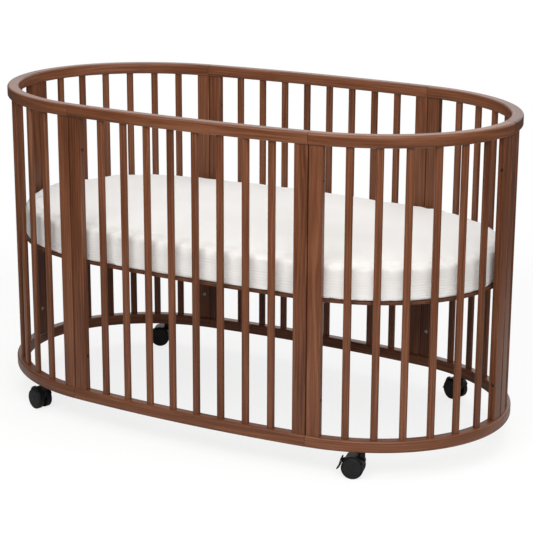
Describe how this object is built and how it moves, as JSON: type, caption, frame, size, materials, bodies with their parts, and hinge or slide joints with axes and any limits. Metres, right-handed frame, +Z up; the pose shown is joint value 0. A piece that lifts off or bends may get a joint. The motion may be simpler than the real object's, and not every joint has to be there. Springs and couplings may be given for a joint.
{
  "type": "baby crib",
  "caption": "Oval wooden baby crib with spindle sides, a loose mattress on a height-set base, and braked swivel casters.",
  "frame": {"origin": "on the floor, under the middle of the crib", "axes": "+Z up; +X along the length of the oval, towards the right-hand end; -Y is the front side"},
  "size_m": [1.42, 0.744, 0.847],
  "materials": {
    "stained_wood": "satin",
    "plywood": "matte",
    "mattress_cover": "matte",
    "caster_plastic": "satin",
    "wheel_plastic": "matte",
    "black_steel": "satin",
    "zinc_steel": "satin"
  },
  "bodies": {
    "crib": {"top_rail_front": "stained_wood", "lower_rail_and_spindles_front": "stained_wood", "post_front_left": "stained_wood", "post_front_right": "stained_wood", "top_rail_back": "stained_wood", "lower_rail_and_spindles_back": "stained_wood", "post_back_left": "stained_wood", "post_back_right": "stained_wood", "top_rail_front_right": "stained_wood", "lower_rail_and_spindles_front_right": "stained_wood", "post_front_right_side": "stained_wood", "post_front_right_end": "stained_wood", "top_rail_back_right": "stained_wood", "lower_rail_and_spindles_back_right": "stained_wood", "post_back_right_side": "stained_wood", "post_back_right_end": "stained_wood", "top_rail_back_left": "stained_wood", "lower_rail_and_spindles_back_left": "stained_wood", "post_back_left_side": "stained_wood", "post_back_left_end": "stained_wood", "top_rail_front_left": "stained_wood", "lower_rail_and_spindles_front_left": "stained_wood", "post_front_left_side": "stained_wood", "post_front_left_end": "stained_wood", "connector_bolt_front_left_upper": "black_steel", "connector_bolt_front_left_lower": "black_steel", "connector_bolt_front_right_upper": "black_steel", "connector_bolt_front_right_lower": "black_steel", "connector_bolt_back_right_upper": "black_steel", "connector_bolt_back_right_lower": "black_steel", "connector_bolt_back_left_upper": "black_steel", "connector_bolt_back_left_lower": "black_steel", "connector_bolt_right_end_upper": "black_steel", "connector_bolt_right_end_lower": "black_steel", "connector_bolt_left_end_upper": "black_steel", "connector_bolt_left_end_lower": "black_steel", "mattress_base": "plywood", "base_bracket_front_right": "zinc_steel", "base_bracket_back_right": "zinc_steel", "base_bracket_back_left": "zinc_steel", "base_bracket_front_left": "zinc_steel", "base_bracket_right_end": "zinc_steel", "base_bracket_left_end": "zinc_steel"},
    "mattress": {"mattress": "mattress_cover"},
    "caster_front_right_swivel": {"caster_front_right_housing": "caster_plastic"},
    "caster_front_right_wheel_a": {"caster_front_right_wheel_a": "wheel_plastic"},
    "caster_front_right_wheel_b": {"caster_front_right_wheel_b": "wheel_plastic"},
    "caster_front_right_brake": {"caster_front_right_brake_lever": "caster_plastic"},
    "caster_front_left_swivel": {"caster_front_left_housing": "caster_plastic"},
    "caster_front_left_wheel_a": {"caster_front_left_wheel_a": "wheel_plastic"},
    "caster_front_left_wheel_b": {"caster_front_left_wheel_b": "wheel_plastic"},
    "caster_front_left_brake": {"caster_front_left_brake_lever": "caster_plastic"},
    "caster_back_left_swivel": {"caster_back_left_housing": "caster_plastic"},
    "caster_back_left_wheel_a": {"caster_back_left_wheel_a": "wheel_plastic"},
    "caster_back_left_wheel_b": {"caster_back_left_wheel_b": "wheel_plastic"},
    "caster_back_left_brake": {"caster_back_left_brake_lever": "caster_plastic"},
    "caster_back_right_swivel": {"caster_back_right_housing": "caster_plastic"},
    "caster_back_right_wheel_a": {"caster_back_right_wheel_a": "wheel_plastic"},
    "caster_back_right_wheel_b": {"caster_back_right_wheel_b": "wheel_plastic"},
    "caster_back_right_brake": {"caster_back_right_brake_lever": "caster_plastic"}
  },
  "joints": [
    {"name": "mattress_lift_out", "type": "slide", "parent": "crib", "child": "mattress", "axis": [0, 0, 1], "range_m": [0, 0.45]},
    {"name": "front_right_swivel", "type": "hinge", "parent": "crib", "child": "caster_front_right_swivel", "pos_m": [0.47122, -0.30917, 0.075], "axis": [0, 0, 1], "continuous": true},
    {"name": "front_right_wheel_a_spin", "type": "hinge", "parent": "caster_front_right_swivel", "child": "caster_front_right_wheel_a", "pos_m": [0.45181, -0.31401, 0.0275], "axis": [-0.2419, 0.9703, 0], "continuous": true},
    {"name": "front_right_wheel_b_spin", "type": "hinge", "parent": "caster_front_right_swivel", "child": "caster_front_right_wheel_b", "pos_m": [0.45181, -0.31401, 0.0275], "axis": [-0.2419, 0.9703, 0], "continuous": true},
    {"name": "front_right_brake_rock", "type": "hinge", "parent": "caster_front_right_swivel", "child": "caster_front_right_brake", "pos_m": [0.42319, -0.32115, 0.041], "axis": [0.2419, -0.9703, 0], "range_deg": [0, 8]},
    {"name": "front_left_swivel", "type": "hinge", "parent": "crib", "child": "caster_front_left_swivel", "pos_m": [-0.47122, -0.30917, 0.075], "axis": [0, 0, 1], "continuous": true},
    {"name": "front_left_wheel_a_spin", "type": "hinge", "parent": "caster_front_left_swivel", "child": "caster_front_left_wheel_a", "pos_m": [-0.49013, -0.30266, 0.0275], "axis": [0.3256, 0.9455, 0], "continuous": true},
    {"name": "front_left_wheel_b_spin", "type": "hinge", "parent": "caster_front_left_swivel", "child": "caster_front_left_wheel_b", "pos_m": [-0.49013, -0.30266, 0.0275], "axis": [0.3256, 0.9455, 0], "continuous": true},
    {"name": "front_left_brake_rock", "type": "hinge", "parent": "caster_front_left_swivel", "child": "caster_front_left_brake", "pos_m": [-0.51802, -0.29306, 0.041], "axis": [-0.3256, -0.9455, 0], "range_deg": [0, 8]},
    {"name": "back_left_swivel", "type": "hinge", "parent": "crib", "child": "caster_back_left_swivel", "pos_m": [-0.47122, 0.30917, 0.075], "axis": [0, 0, 1], "continuous": true},
    {"name": "back_left_wheel_a_spin", "type": "hinge", "parent": "caster_back_left_swivel", "child": "caster_back_left_wheel_a", "pos_m": [-0.49001, 0.30233, 0.0275], "axis": [-0.342, 0.9397, 0], "continuous": true},
    {"name": "back_left_wheel_b_spin", "type": "hinge", "parent": "caster_back_left_swivel", "child": "caster_back_left_wheel_b", "pos_m": [-0.49001, 0.30233, 0.0275], "axis": [-0.342, 0.9397, 0], "continuous": true},
    {"name": "back_left_brake_rock", "type": "hinge", "parent": "caster_back_left_swivel", "child": "caster_back_left_brake", "pos_m": [-0.51773, 0.29224, 0.041], "axis": [0.342, -0.9397, 0], "range_deg": [0, 8]},
    {"name": "back_right_swivel", "type": "hinge", "parent": "crib", "child": "caster_back_right_swivel", "pos_m": [0.47122, 0.30917, 0.075], "axis": [0, 0, 1], "continuous": true},
    {"name": "back_right_wheel_a_spin", "type": "hinge", "parent": "caster_back_right_swivel", "child": "caster_back_right_wheel_a", "pos_m": [0.45281, 0.31699, 0.0275], "axis": [0.3907, 0.9205, 0], "continuous": true},
    {"name": "back_right_wheel_b_spin", "type": "hinge", "parent": "caster_back_right_swivel", "child": "caster_back_right_wheel_b", "pos_m": [0.45281, 0.31699, 0.0275], "axis": [0.3907, 0.9205, 0], "continuous": true},
    {"name": "back_right_brake_rock", "type": "hinge", "parent": "caster_back_right_swivel", "child": "caster_back_right_brake", "pos_m": [0.42566, 0.32851, 0.041], "axis": [-0.3907, -0.9205, 0], "range_deg": [0, 8]}
  ]
}
